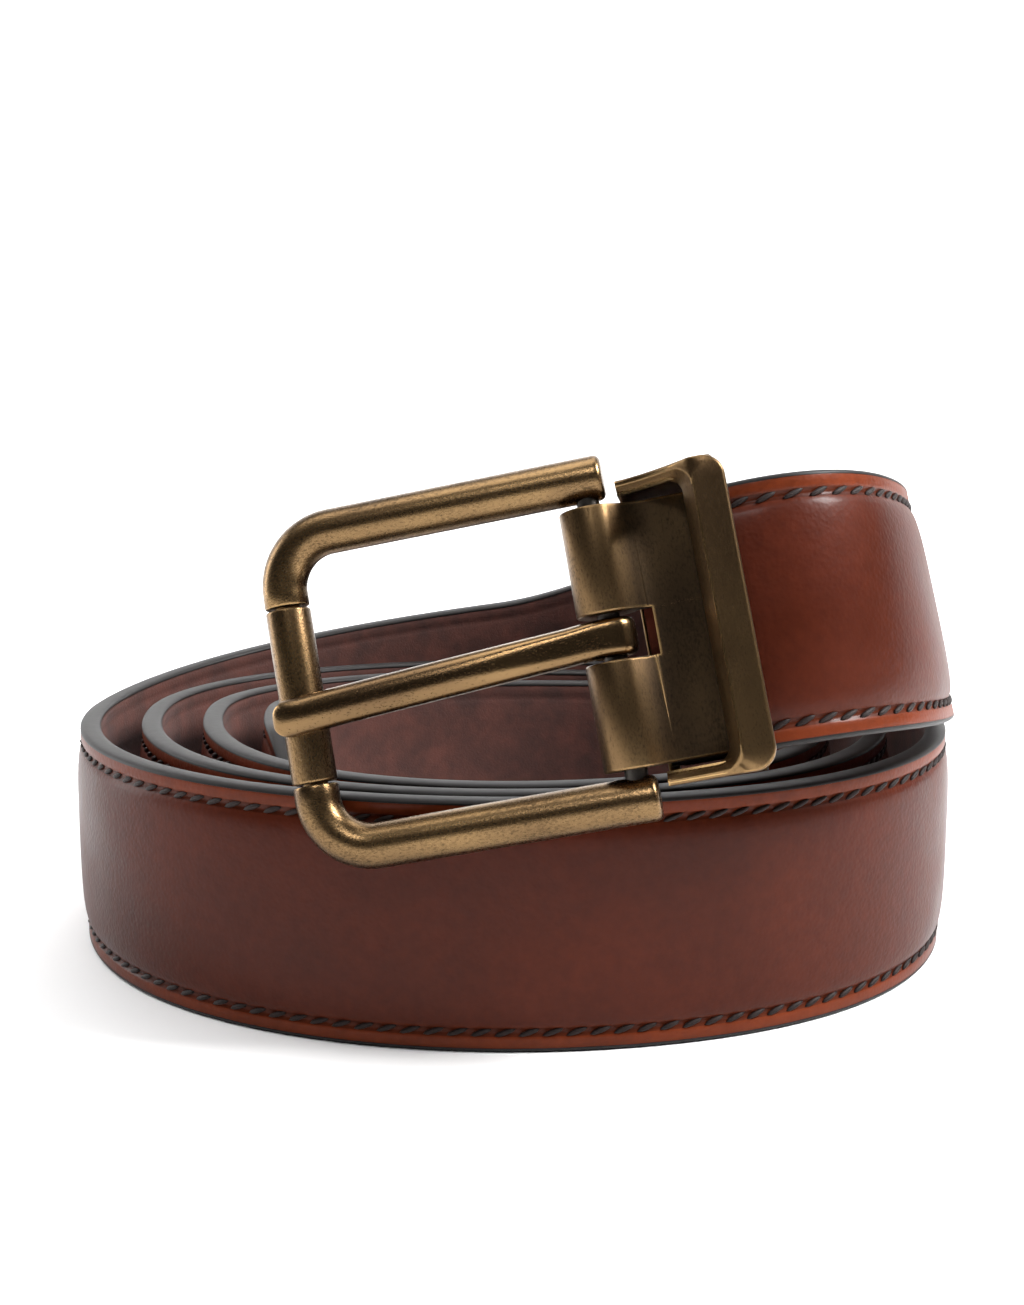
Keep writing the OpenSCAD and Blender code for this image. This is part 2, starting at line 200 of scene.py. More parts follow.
def buckle_turn():
    """Rotation from the buckle's own directions: x along the strap, y to the back, z across the strap."""
    b = buckle()
    tilted = Matrix.Rotation(-b.yaw, 4, "Z") @ Matrix.Rotation(-b.tilt, 4, "Y")
    return tilted @ Matrix.Rotation(-b.lean, 4, "X")


def casing_half():
    """Half width of the casing, inside and outside its side walls."""
    inner = strap().width / 2 + SIDE_GAP
    return inner, inner + buckle().casing_wall


def buckle_place():
    """The buckle's own space: its origin is the middle of the hinge pin."""
    s, r, b = strap(), roll(), buckle()
    turn = buckle_turn()
    arm_z = s.width / 2 + b.arm_space + b.rod / 2
    corner = turn @ Vector((b.corner - b.reach, 0, -arm_z))
    at_arm = r.front * math.sqrt(1 - ((b.pin_x + corner.x) / r.left) ** 2)
    y = -at_arm - b.rod / 2 - LEAN_GAP - corner.y + r.shift
    z = s.width + CLEARANCE + casing_half()[1] * math.cos(b.lean) * math.cos(b.tilt)
    return Matrix.Translation((b.pin_x, y, z)) @ turn


class StrapPath:
    """The middle line of the strap from the casing to the tip: evenly spaced points with their directions."""

    def __init__(self, step):
        r, b = roll(), buckle()
        self.depth = strap_depth()
        place = buckle_place()
        seat = SEAT + self.depth / 2
        along = place.to_3x3() @ Vector((1, 0, 0))
        mouth_x = b.casing_start + b.casing + MOUTH
        mouth = place @ Vector((mouth_x, seat, 0))
        start = place @ Vector((STRAP_START, seat, 0))
        bend_start = self.on_roll(RIGHT)
        bend_1 = bend_start - self.way(RIGHT) * REACH_BACK
        bend_2 = mouth + along * REACH_BUCKLE
        points, leans = [], []
        for q in np.linspace(0, 1, 24, endpoint=False):
            points.append(start.lerp(mouth, q))
            leans.append(b.lean)
        for q in np.linspace(0, 1, 60, endpoint=False):
            p = ((1 - q) ** 3 * mouth + 3 * (1 - q) ** 2 * q * bend_2 + 3 * (1 - q) * q * q * bend_1
                 + q ** 3 * bend_start)
            points.append(p)
            leans.append(b.lean + (r.lean - b.lean) * q)
        for t in np.linspace(RIGHT, r.turns, 900):
            points.append(self.on_roll(t))
            leans.append(r.lean * ease(t / RIGHT))
        points = np.array([tuple(p) for p in points])
        gone = np.concatenate([[0], np.cumsum(np.linalg.norm(np.diff(points, axis=0), axis=1))])
        self.length = gone[-1]
        self.count = int(round(self.length / step)) + 1
        self.gone = np.linspace(0, self.length, self.count)
        self.point = np.stack([np.interp(self.gone, gone, points[:, k]) for k in range(3)], 1)
        lean = np.interp(self.gone, gone, np.array(leans))
        way = np.gradient(self.point, axis=0)
        way /= np.linalg.norm(way, axis=1)[:, None]
        out = np.stack([way[:, 1], -way[:, 0], np.zeros(self.count)], 1)
        out /= np.linalg.norm(out, axis=1)[:, None]
        up = np.cross(out, way)
        c, n = np.cos(lean)[:, None], np.sin(lean)[:, None]
        self.along = way
        self.out = out * c + up * n
        self.up = up * c - out * n

    def edge(self, t, side):
        """Outer half width or half depth of the roll on one side of it, at turn t."""
        r = roll()
        pack = self.depth + r.gap
        return {
            "right": r.raised_right if t < 0 else r.right - r.pitch_right * (t - 0.5),
            "left": r.left - r.pitch_left * max(t, 0),
            "front": r.front - pack * max(t - 0.25, 0),
            "back": r.raised_back if t < 0 else r.back - r.pitch_back * (t - 0.75),
        }[side]

    def on_roll(self, t):
        """A point of the roll; t counts turns from the left side."""
        s, r = strap(), roll()
        a = math.pi + 2 * math.pi * t
        c, n = math.cos(a), math.sin(a)
        half_x = self.edge(t, "right" if c > 0 else "left") - self.depth / 2
        half_y = self.edge(t, "back" if n > 0 else "front") - self.depth / 2
        climb = (s.width + r.rise_over) * (SLOW_RISE * ease(t / RIGHT)
                                           + (1 - SLOW_RISE) * ease((-t - STEP_START) / STEP_TURNS))
        return Vector((half_x * c * (1 + SQUARENESS * n * n), half_y * n * (1 + SQUARENESS * c * c) + r.shift,
                       s.width / 2 + climb))

    def way(self, t):
        return (self.on_roll(t + 0.002) - self.on_roll(t - 0.002)).normalized()

    def at(self, distance):
        """Point, along, out and up at a distance from the casing end."""
        k = np.interp(distance, self.gone, np.arange(self.count))
        i = min(int(k), self.count - 2)
        q = k - i
        mixed = [Vector(a[i] * (1 - q) + a[i + 1] * q) for a in (self.point, self.along, self.out, self.up)]
        return [mixed[0]] + [v.normalized() for v in mixed[1:]]

    def narrowing(self, distance):
        """Share of the strap's half width left at a distance from the casing end, at the rounded tip."""
        rest = self.length - distance
        tip = strap().tip
        return 1.0 if rest >= tip else 0.12 + 0.88 * math.sqrt(1 - (1 - rest / tip) ** 2)


def pad(up):
    """Height of the padding at a place across the strap: bowed between the stitch rows, none outside."""
    s = strap()
    half = s.width / 2 - s.inset - s.thread
    q = min(1.0, abs(up) / half)
    return s.padding * (1 - q ** 4) ** 0.6


# ---------------------------------------------------------------- mesh helpers

def add_object(name, data):
    obj = bpy.data.objects.new(name, data)
    bpy.context.scene.collection.objects.link(obj)
    return obj


def add_mesh(bm, name):
    """Puts a bmesh into the scene as an object; the bmesh is freed."""
    mesh = bpy.data.meshes.new(name)
    bm.to_mesh(mesh)
    bm.free()
    return add_object(name, mesh)


def finish_mesh(bm, name, material, body, replaces):
    """Turns a bmesh into a finished piece of the object."""
    obj = add_mesh(bm, name)
    obj.data.shade_smooth()
    obj.data.materials.append(material)
    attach(obj, body)
    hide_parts(*replaces)
    return obj


def close_up(bm, dist=1e-7):
    """Merges doubled points, fills open ends and turns all faces outwards."""
    bmesh.ops.remove_doubles(bm, verts=bm.verts, dist=dist)
    bmesh.ops.holes_fill(bm, edges=[e for e in bm.edges if e.is_boundary])
    bmesh.ops.recalc_face_normals(bm, faces=bm.faces)


def slab(outline, start, thickness):
    """A plate in the XY plane of an outline, from a height along Z."""
    bm = bmesh.new()
    face = bm.faces.new([bm.verts.new((x, y, start)) for x, y in outline])
    grown = bmesh.ops.extrude_face_region(bm, geom=[face])["geom"]
    top = [g for g in grown if isinstance(g, bmesh.types.BMVert)]
    bmesh.ops.translate(bm, vec=(0, 0, thickness), verts=top)
    return bm


def round_edges(bm, edges, offset, segments):
    bmesh.ops.bevel(bm, geom=edges, offset=offset, offset_type="OFFSET", segments=segments, profile=0.5,
                    affect="EDGES", material=-1)


def quarter(steps):
    """Angles from 0 to 90 degrees, in equal steps."""
    return [math.radians(90 * k / steps) for k in range(steps + 1)]


def band(path, outline):
    """A closed band along the strap. outline lists its section as (out, up) points, in order."""
    bm = bmesh.new()
    rows, columns = path.count - 1, len(outline)
    bmesh.ops.create_grid(bm, x_segments=rows, y_segments=columns, size=0.5)
    uv = bm.loops.layers.uv.new("strap")
    place = {}
    for v in bm.verts:
        i = round((v.co.x + 0.5) * rows)
        j = round((v.co.y + 0.5) * columns)
        out, up = outline[j % columns]
        narrow = path.narrowing(path.gone[i])
        place[v] = (path.gone[i], up * narrow)
        v.co = Vector(path.point[i] + path.out[i] * out + path.up[i] * up * narrow)
    for face in bm.faces:
        for loop in face.loops:
            loop[uv].uv = place[loop.vert]
    close_up(bm)
    return bm


def punch(obj, path):
    """Cuts the punched holes through a finished strap piece."""
    s = strap()
    bm = bmesh.new()
    for k in range(s.holes):
        point, along, out, up = path.at(path.length - s.hole_start - k * s.hole_pitch)
        axes = Matrix((along, up, out)).transposed().to_4x4()
        bmesh.ops.create_cone(bm, cap_ends=True, segments=32, radius1=s.hole / 2, radius2=s.hole / 2,
                              depth=path.depth + 1.2 * MM, matrix=Matrix.Translation(point) @ axes)
    bmesh.ops.recalc_face_normals(bm, faces=bm.faces)
    cutter = add_mesh(bm, "punch")
    cut = obj.modifiers.new("holes", "BOOLEAN")
    cut.operation, cut.solver, cut.object = "DIFFERENCE", "EXACT", cutter
    bpy.context.view_layer.update()
    done = bpy.data.meshes.new_from_object(obj.evaluated_get(bpy.context.evaluated_depsgraph_get()))
    obj.modifiers.remove(cut)
    bpy.data.objects.remove(cutter)
    obj.data = done
    done.name = obj.name


def join(parts):
    """One bmesh of several; each part is freed."""
    bm = bmesh.new()
    for part in parts:
        mesh = bpy.data.meshes.new("part")
        part.to_mesh(mesh)
        part.free()
        bm.from_mesh(mesh)
        bpy.data.meshes.remove(mesh)
    return bm


def sew(places, batch=40):
    """One bmesh of many stitches, made in small batches, because an operator slows down as its mesh grows."""
    batches = []
    for first in range(0, len(places), batch):
        few = bmesh.new()
        for place in places[first:first + batch]:
            bmesh.ops.create_uvsphere(few, u_segments=8, v_segments=6, radius=1, matrix=place)
        batches.append(few)
    return join(batches)


def rounded_copy(cad_node, name, material, body, width, segments):
    """A copy of a CAD node with its triangles merged and its edges rounded."""
    bm = bmesh.new()
    bm.from_mesh(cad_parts[cad_node].data)
    bmesh.ops.remove_doubles(bm, verts=bm.verts, dist=2e-6)
    bmesh.ops.dissolve_limit(bm, angle_limit=math.radians(1.0), verts=bm.verts, edges=bm.edges)
    bmesh.ops.recalc_face_normals(bm, faces=bm.faces)
    obj = finish_mesh(bm, name, material, body, (cad_node,))
    rounding = obj.modifiers.new("rounding", "BEVEL")
    rounding.width, rounding.segments, rounding.limit_method = width, segments, "ANGLE"
    rounding.angle_limit = math.radians(28)
    rounding.harden_normals = False
    shade_by_angle(obj, 40)


def shade_by_angle(obj, degrees):
    """Smooth shading with sharp edges where faces meet at more than an angle."""
    bm = bmesh.new()
    bm.from_mesh(obj.data)
    for e in bm.edges:
        e.smooth = not (e.is_manifold and e.calc_face_angle(0) > math.radians(degrees))
    bm.to_mesh(obj.data)
    bm.free()


def tube(stations, segments=32):
    """A closed tube through stations, each a (matrix, radius): the ring lies in the matrix's XY plane."""
    bm = bmesh.new()
    first, radius = stations[0]
    bmesh.ops.create_circle(bm, cap_ends=True, segments=segments, radius=radius, matrix=first)
    edges = list(bm.edges)
    last = first @ Matrix.Diagonal((radius, radius, radius, 1))
    for matrix, radius in stations[1:]:
        made = bmesh.ops.extrude_edge_only(bm, edges=edges)["geom"]
        edges = [g for g in made if isinstance(g, bmesh.types.BMEdge) and g.is_boundary]
        verts = list({v for e in edges for v in e.verts})
        ring = matrix @ Matrix.Diagonal((radius, radius, radius, 1))
        bmesh.ops.transform(bm, matrix=ring @ last.inverted(), verts=verts)
        last = ring
    bmesh.ops.holes_fill(bm, edges=[e for e in bm.edges if e.is_boundary])
    bmesh.ops.recalc_face_normals(bm, faces=bm.faces)
    return bm


def lathe(profile, segments=64):
    """A solid of revolution about Z from a closed profile of (radius, height) points."""
    bm = bmesh.new()
    verts = [bm.verts.new((r, 0, z)) for r, z in profile]
    edges = [bm.edges.new((verts[i], verts[(i + 1) % len(verts)])) for i in range(len(verts))]
    bmesh.ops.spin(bm, geom=verts + edges, cent=(0, 0, 0), axis=(0, 0, 1), angle=2 * math.pi, steps=segments,
                   use_merge=True)
    bmesh.ops.remove_doubles(bm, verts=bm.verts, dist=1e-6)
    bmesh.ops.recalc_face_normals(bm, faces=bm.faces)
    return bm


# ---------------------------------------------------------------- materials

def new_material(name):
    material = bpy.data.materials.new(name)
    material.use_nodes = True
    tree = material.node_tree
    return material, tree, tree.nodes["Principled BSDF"]


def fill(made, inputs):
    """Gives the inputs of a node their values or links."""
    for key, value in inputs.items():
        if isinstance(value, bpy.types.NodeSocket):
            made.id_data.links.new(value, made.inputs[key])
        else:
            made.inputs[key].default_value = value


def node(tree, kind, settings=None, inputs=None, out=0):
    """Adds a node and gives one of its outputs. settings are its properties; inputs are values or links."""
    made = tree.nodes.new("ShaderNode" + kind)
    for key, value in (settings or {}).items():
        setattr(made, key, value)
    fill(made, inputs or {})
    return made.outputs[out]


def rgba(value):
    return (*value, 1)


def polished_calf():
    """Full-grain calf, aniline dyed and polished: deep red-brown, a fine pebble grain and a waxy shine."""
    f = finishes()
    material, tree, shader = new_material("polished_calf")
    where = node(tree, "TexCoord", out="Object")
    uv = node(tree, "UVMap", {"uv_map": "strap"})
    across = node(tree, "SeparateXYZ", None, {0: uv}, "Y")
    away = node(tree, "Math", {"operation": "ABSOLUTE"}, {0: across})
    # The margins outside the stitch rows are lighter and redder
    margin = node(tree, "MapRange", {"interpolation_type": "SMOOTHSTEP"},
                  {"Value": away, "From Min": 13.2 * MM, "From Max": 15.4 * MM})
    # Cloudy dye, patches of 15 to 25 mm
    cloud = node(tree, "TexNoise", None, {"Vector": where, "Scale": 55, "Detail": 3, "Roughness": 0.55})
    # Streaks of pull-up across the strap, about 1.5 mm
    streak = node(tree, "TexNoise", None, {"Vector": where, "Scale": 620, "Detail": 3, "Roughness": 0.6})
    base = node(tree, "Mix", {"data_type": "RGBA"}, {0: margin, 6: rgba(f.calf), 7: rgba(f.calf_edge)}, 2)
    shade = node(tree, "MapRange", None,
                 {"Value": cloud, "From Min": 0.3, "From Max": 0.7, "To Min": 0.78, "To Max": 1.12})
    shade_2 = node(tree, "MapRange", None,
                   {"Value": streak, "From Min": 0.3, "From Max": 0.7, "To Min": 0.88, "To Max": 1.1})
    both = node(tree, "Math", {"operation": "MULTIPLY"}, {0: shade, 1: shade_2})
    # Painted shade in the sewn groove, 14 to 15.2 mm from the middle, darkens it
    near = node(tree, "Math", {"operation": "COMPARE"}, {0: away, 1: GROOVE_MIDDLE, 2: 0.62 * MM})
    groove = node(tree, "MapRange", {"interpolation_type": "SMOOTHSTEP"},
                  {"Value": near, "To Min": 1.0, "To Max": 0.6})
    both = node(tree, "Math", {"operation": "MULTIPLY"}, {0: both, 1: groove})
    tone = node(tree, "HueSaturation", None, {"Value": both, "Color": base})
    # Pebble grain: cells of about 0.55 mm, with finer pores of 0.2 mm between them
    cells = node(tree, "TexVoronoi", {"feature": "SMOOTH_F1"},
                 {"Vector": where, "Scale": 1500, "Smoothness": 0.6}, "Distance")
    pores = node(tree, "TexNoise", None, {"Vector": where, "Scale": 2600, "Detail": 2, "Roughness": 0.6})
    creases = node(tree, "TexNoise", None, {"Vector": where, "Scale": 240, "Detail": 4, "Roughness": 0.6})
    grain = node(tree, "Math", {"operation": "MULTIPLY_ADD"}, {0: pores, 1: 0.45, 2: cells})
    grain = node(tree, "Math", {"operation": "MULTIPLY_ADD"}, {0: creases, 1: 0.9, 2: grain})
    bump = node(tree, "Bump", None, {"Height": grain, "Strength": 0.32, "Distance": 0.12 * MM})
    rough = node(tree, "MapRange", None,
                 {"Value": cloud, "From Min": 0.3, "From Max": 0.7, "To Min": 0.36, "To Max": 0.5})
    fill(shader, {"Base Color": tone, "Normal": bump, "Roughness": rough, "IOR": 1.45,
                  "Specular IOR Level": 0.09, "Coat Weight": 0.08, "Coat Roughness": 0.2})
    return material


def mottled(name, colour_of, patches, tones, grain, relief, look):
    """A finish of one colour, shaped by two noises. patches makes it lighter and darker: tones gives the
    share of the noise that counts and the range it is spread over. grain stands out by relief, a strength
    and a depth. look holds the shader's other inputs."""
    material, tree, shader = new_material(name)
    where = node(tree, "TexCoord", out="Object")
    patchy = node(tree, "TexNoise", None, {"Vector": where, **patches})
    rough = node(tree, "TexNoise", None, {"Vector": where, **grain})
    tone = node(tree, "MapRange", None,
                {"Value": patchy, **dict(zip(("From Min", "From Max", "To Min", "To Max"), tones))})
    shade = node(tree, "HueSaturation", None, {"Value": tone, "Color": rgba(colour_of)})
    bump = node(tree, "Bump", None, {"Height": rough, "Strength": relief[0], "Distance": relief[1]})
    fill(shader, {"Base Color": shade, "Normal": bump, **look})
    return material


def edge_paint():
    """Edge paint rolled on in coats and burnished: near black, smooth, with faint unevenness."""
    lumps = {"Scale": 420, "Detail": 3, "Roughness": 0.55}
    return mottled("burnished_edge_paint", finishes().edge_paint, lumps, (0.3, 0.7, 0.75, 1.35), lumps,
                   (0.25, 0.15 * MM), {"Roughness": 0.5, "Specular IOR Level": 0.25})


def lining_suede():
    """Split lining leather with a short nap: dull red-brown, in patches of 3 to 6 mm where it is brushed."""
    brushed = {"Scale": 190, "Detail": 4, "Roughness": 0.62}
    nap = {"Scale": 2400, "Detail": 2, "Roughness": 0.7}
    return mottled("napped_lining_leather", finishes().lining, brushed, (0.32, 0.68, 0.62, 1.35), nap,
                   (0.5, 0.15 * MM), {"Roughness": 0.75, "Sheen Weight": 0.08, "Sheen Roughness": 0.5})


def waxed_thread():
    """Twisted polyester thread, waxed: dark, with a slight shine and a ply twist of 0.35 mm."""
    ply = {"Scale": 2600, "Detail": 2, "Roughness": 0.5}
    return mottled("waxed_twisted_thread", finishes().thread, ply, (0.3, 0.7, 0.6, 1.5), ply,
                   (0.5, 0.12 * MM), {"Roughness": 0.6, "Specular IOR Level": 0.25})


def antique_brass(name, polish, roughness, reach=2.5 * MM, lines="X", painted_shade_from=None):
    """Brass tumbled in a dark patina bath and then relieved: black in pits and hollows, gold on worn edges.
    polish is how much of the patina was relieved, reach how near other metal has to be to keep it, lines the
    direction of the polishing lines in the buckle's own space, and the last argument how far behind the hinge
    pin painted shade starts to darken the metal, standing in for the shade in the hinge plate's valley."""
    f = finishes()
    material, tree, shader = new_material(name)
    plain = node(tree, "TexCoord", out="Object")
    turned = node(tree, "Mapping", {"vector_type": "POINT"},
                  {"Vector": plain, "Rotation": buckle_turn().inverted().to_euler()})
    # Polishing draws the pits out into short lines, twice as long as they are wide
    stretch = {"X": (0.5, 1, 1), "Z": (1, 1, 0.5)}[lines]
    where = node(tree, "VectorMath", {"operation": "MULTIPLY"}, {0: turned, 1: stretch})
    # Pits of about 0.3 mm, in clusters of 2 to 3 mm
    pits = node(tree, "TexNoise", None, {"Vector": where, "Scale": 3800, "Detail": 4, "Roughness": 0.7})
    clusters = node(tree, "TexNoise", None, {"Vector": where, "Scale": 330, "Detail": 3, "Roughness": 0.6})
    drift = node(tree, "TexNoise", None, {"Vector": where, "Scale": 90, "Detail": 2, "Roughness": 0.5})
    # Patina stays where other metal is close
    hollow = node(tree, "AmbientOcclusion", {"samples": 6, "only_local": True}, {"Distance": reach}, "AO")
    # Worn edges: where a rounded normal differs from the true one
    round_normal = node(tree, "Bevel", {"samples": 6}, {"Radius": 0.55 * MM})
    true_normal = node(tree, "NewGeometry", out="Normal")
    agree = node(tree, "VectorMath", {"operation": "DOT_PRODUCT"}, {0: round_normal, 1: true_normal}, "Value")
    worn = node(tree, "MapRange", None, {"Value": agree, "From Min": 0.995, "From Max": 0.9})
    worn = node(tree, "Math", {"operation": "MULTIPLY"}, {0: worn, 1: hollow})
    speck = node(tree, "Math", {"operation": "MULTIPLY_ADD"}, {0: clusters, 1: 0.28, 2: pits})
    speck = node(tree, "Math", {"operation": "MULTIPLY_ADD"}, {0: drift, 1: 0.2, 2: speck})
    clear = node(tree, "MapRange", {"interpolation_type": "SMOOTHSTEP"},
                 {"Value": speck, "From Min": 0.5 - 0.2 * polish, "From Max": 0.92 - 0.2 * polish})
    open_share = node(tree, "MapRange", None,
                      {"Value": hollow, "From Min": 0.3, "From Max": 0.85, "To Min": 0.15})
    clear = node(tree, "Math", {"operation": "MULTIPLY"}, {0: clear, 1: open_share})
    # Painted shade: the metal darkens from a set distance behind the hinge pin, standing in for the shade in
    # the hinge plate's valley under the casing
    if painted_shade_from is not None:
        pin = (buckle_turn().inverted() @ buckle_place().translation).x
        along = node(tree, "SeparateXYZ", None, {0: turned}, "X")
        valley_shade = node(tree, "MapRange", {"interpolation_type": "SMOOTHSTEP"},
                       {"Value": along, "From Min": pin + painted_shade_from, "From Max": pin + painted_shade_from + 3.6 * MM,
                        "To Min": 1.0, "To Max": 0.16})
        clear = node(tree, "Math", {"operation": "MULTIPLY"}, {0: clear, 1: valley_shade})
    body = node(tree, "Mix", {"data_type": "RGBA"}, {0: clear, 6: rgba(f.patina), 7: rgba(f.brass_body)}, 2)
    tint = node(tree, "MapRange", None,
                {"Value": drift, "From Min": 0.35, "From Max": 0.7, "To Min": 0.0, "To Max": 0.35})
    tint = node(tree, "Math", {"operation": "MULTIPLY"}, {0: tint, 1: clear})
    body = node(tree, "Mix", {"data_type": "RGBA"}, {0: tint, 6: body, 7: rgba(f.brass)}, 2)
    full = node(tree, "Mix", {"data_type": "RGBA"}, {0: worn, 6: body, 7: rgba(f.brass)}, 2)
    rough = node(tree, "MapRange", None, {"Value": clear, "To Min": roughness + 0.22, "To Max": roughness})
    rough = node(tree, "Math", {"operation": "MULTIPLY_ADD", "use_clamp": True},
                 {0: worn, 1: -0.12, 2: rough})
    bump = node(tree, "Bump", None, {"Height": pits, "Strength": 0.35, "Distance": 0.06 * MM})
    fill(shader, {"Base Color": full, "Roughness": rough, "Normal": bump, "Metallic": 1.0})
    return material


def drawn_steel():
    """Drawn steel wire, darkened: grey, with fine lines along the wire."""
    material, tree, shader = new_material("drawn_steel_wire")
    where = node(tree, "TexCoord", out="Object")
    lines = node(tree, "TexNoise", None, {"Vector": where, "Scale": 1800, "Detail": 2})
    tone = node(tree, "MapRange", None, {"Value": lines, "To Min": 0.6, "To Max": 1.2})
    shade = node(tree, "HueSaturation", None, {"Value": tone, "Color": rgba(finishes().steel)})
    fill(shader, {"Base Color": shade, "Metallic": 1.0, "Roughness": 0.38})
    return material


def studio_floor():
    """Matt studio paper: plain and pale."""
    material, _, shader = new_material("studio_paper")
    fill(shader, {"Base Color": rgba(finishes().floor), "Roughness": 0.9, "Specular IOR Level": 0.1})
    return material


# ---------------------------------------------------------------- pieces

FACE_UPS = [0, 2.2, 4.4, 6.4, 8.2, 9.8, 11.1, 12.1, 12.9, 13.35, 13.62, 13.8]
GROOVE = [(14.0, 1.08), (14.25, 0.9), (14.6, 0.82), (14.95, 0.9), (15.2, 1.08), (15.5, 1.19), (16.1, 1.2),
          (16.7, 1.18), (16.95, 1.12)]


def mirror(half):
    """The other half of an outline, in order, from one half of it given as (out, up)."""
    return [(o, -u) for o, u in reversed(half)]


def face_outline():
    """Section of the calf face: thin at the margins, a groove under each stitch row, padded in the middle."""
    s = strap()
    top = [(s.face + pad(u * MM), u * MM) for u in FACE_UPS[1:]]
    top += [(o * MM, u * MM) for u, o in GROOVE] + [(0.9 * MM, 17.1 * MM), (0.04 * MM, 17.12 * MM)]
    under = [(pad(u * MM), u * MM) for u in reversed(FACE_UPS[1:])]
    return mirror(top) + [(s.face + pad(0), 0)] + top + under + [(pad(0), 0)] + mirror(under)


def board_outline():
    """Section of the backing board, with the paint that rounds both edges and laps onto face and lining."""
    bulb = [(-0.05, 16.3), (-0.05, 16.75), (1.05, 16.78), (1.21, 16.84), (1.2, 17.02), (1.1, 17.2),
            (0.84, 17.36), (0.45, 17.46), (-0.1, 17.5), (-0.8, 17.5), (-1.35, 17.45), (-1.7, 17.34),
            (-1.92, 17.18), (-2.02, 17.0), (-2.0, 16.84), (-1.85, 16.78), (-1.05, 16.75), (-1.0, 16.3)]
    web = [(pad(u * MM) - 0.05 * MM, u * MM) for u in FACE_UPS[1:]]
    right = [(o * MM, u * MM) for o, u in bulb]
    under = [(-1.0 * MM, u * MM) for u in (12, 6, 0, -6, -12)]
    return mirror(web) + [(pad(0) - 0.05 * MM, 0)] + web + right + under + mirror(right)


def lining_outline():
    """Section of the lining: flat, with a shallow groove under each stitch row."""
    outer = [(-2.0, 0), (-2.0, 5), (-2.0, 10), (-1.99, 13.6), (-1.9, 14.1), (-1.78, 14.6), (-1.9, 15.1),
             (-1.99, 15.6), (-1.98, 16.6), (-1.85, 16.95), (-1.05, 17.0)]
    half = [(o * MM, u * MM) for o, u in outer]
    inner = [(-1.02 * MM, u * MM) for u in (12, 6, 0, -6, -12)]
    return mirror(half[1:]) + half + inner


class BELT_OT_strap(bpy.types.Operator):
    """Builds the strap: padded calf face, board with painted edges, and lining"""
    bl_idname = "belt.strap"
    bl_label = "Strap"

    def execute(self, context):
        path = StrapPath(2.0 * MM)
        for name, outline, material, slot, stands_for in (
                ("strap_calf", face_outline(), polished_calf(), "calf_face", "strap_face"),
                ("strap_board", board_outline(), edge_paint(), "backing_board", "strap_core"),
                ("strap_lining_leather", lining_outline(), lining_suede(), "lining_leather", "strap_lining")):
            piece = finish_mesh(band(path, outline), name, material, "belt", (stands_for,))
            punch(piece, path)
            shade_by_angle(piece, 50)
        return {"FINISHED"}


class BELT_OT_stitches(bpy.types.Operator):
    """Sews both rows of slanted stitches"""
    bl_idname = "belt.stitches"
    bl_label = "Stitches"

    def execute(self, context):
        s = strap()
        path = StrapPath(2.0 * MM)
        material = waxed_thread()
        row_up = s.width / 2 - s.inset
        slant = math.radians(20)
        for name, side, stands_for in (("stitches_upper", 1, "stitch_row_upper"),
                                       ("stitches_lower", -1, "stitch_row_lower")):
            places = []
            for k in range(int((path.length - s.tip) / s.stitch)):
                point, along, out, up = path.at((k + 0.5) * s.stitch)
                turned = Matrix((along, up, out)).transposed().to_4x4()
                size = Matrix.Diagonal((s.stitch * 0.49, s.thread * 0.43, s.thread * 0.42, 1))
                centre = point + out * 1.0 * MM + up * row_up * side
                places.append(Matrix.Translation(centre) @ turned @ Matrix.Rotation(slant, 4, "Z") @ size)
            finish_mesh(sew(places), name, material, "belt", (stands_for,))
        return {"FINISHED"}


def rod_stations():
    """Stations of half of the frame's rod in the buckle's own space: arm end, arm, corner, end bar."""
    s, b = strap(), buckle()
    r = b.rod / 2
    arm_z = s.width / 2 + b.arm_space + r
    over = 2.5 * MM
    edge = 0.9 * MM
    stub = b.roller / 2 + 0.3 * MM
    along = Matrix.Rotation(math.radians(90), 4, "Y")

    def arm(x, radius):
        return Matrix.Translation((x, 0, arm_z)) @ along, radius

    half = [arm(over - edge + edge * math.cos(a), r - edge + edge * math.sin(a)) for a in quarter(5)]
    half += [arm(x, r) for x in np.linspace(over - edge, b.corner - b.reach, 14)[1:]]
    for a in quarter(16)[1:]:
        x = b.corner - b.reach - b.corner * math.sin(a)
        z = arm_z - b.corner + b.corner * math.cos(a)
        half.append((Matrix.Translation((x, 0, z)) @ Matrix.Rotation(math.radians(90) - a, 4, "Y"), r))
    small = 0.35 * MM

    def bar(z, radius):
        return Matrix.Translation((-b.reach, 0, z)), radius

    return half + [bar(stub + small, r), bar(stub + small * 0.3, r - small * 0.3), bar(stub, r - small),
                   bar(stub, b.spindle / 2), bar(stub / 2, b.spindle / 2)]


class BELT_OT_frame(bpy.types.Operator):
    """Bends the frame's rod: two arms with rounded ends, two corners and the end bar"""
    bl_idname = "belt.frame"
    bl_label = "Frame"

    def execute(self, context):
        half = rod_stations()
        mirrored = [(Matrix.Diagonal((1, 1, -1, 1)) @ m, r) for m, r in reversed(half)]
        bm = tube(half + mirrored)
        bmesh.ops.transform(bm, matrix=buckle_place(), verts=bm.verts)
        bmesh.ops.recalc_face_normals(bm, faces=bm.faces)
        material = antique_brass("antiqued_cast_brass", 0.55, 0.26)
        piece = finish_mesh(bm, "frame_rod", material, "frame", ("frame",))
        shade_by_angle(piece, 40)
        return {"FINISHED"}


